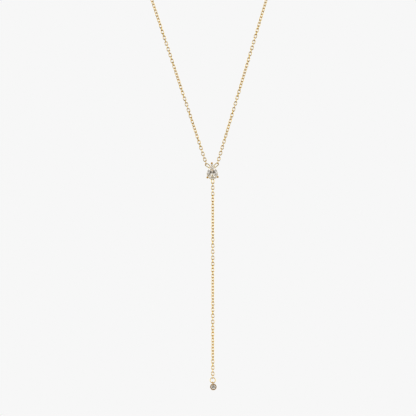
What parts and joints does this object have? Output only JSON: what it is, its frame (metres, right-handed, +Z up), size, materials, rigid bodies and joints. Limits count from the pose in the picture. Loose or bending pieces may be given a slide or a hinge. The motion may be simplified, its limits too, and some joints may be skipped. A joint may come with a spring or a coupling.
{
  "type": "y necklace",
  "caption": "Fine cable-chain Y necklace: a pear-cut stone in a pronged setting joins the neck loop to a straight drop that ends in a small round bezel-set stone.",
  "frame": {"origin": "middle of the closed clasp, at the top of the neck loop, where the necklace hangs", "axes": "+Z up along the plumb drop chain, +X to the right as seen from the front, -Y the front that the stones face"},
  "size_m": [0.0904, 0.0032, 0.2795],
  "materials": {
    "gold_chain": "polished gold plate",
    "gold_setting": "polished gold plate",
    "gold_clasp": "polished gold plate",
    "clear_stone": "clear cut stone"
  },
  "bodies": {
    "root": {"neck_chain_left": "gold_chain", "neck_chain_right": "gold_chain", "drop_chain": "gold_chain", "pear_setting": "gold_setting", "pear_stone": "clear_stone", "drop_ring": "gold_setting", "drop_bezel": "gold_setting", "drop_stone": "clear_stone", "clasp": "gold_clasp", "clasp_ring": "gold_clasp"}
  },
  "joints": []
}
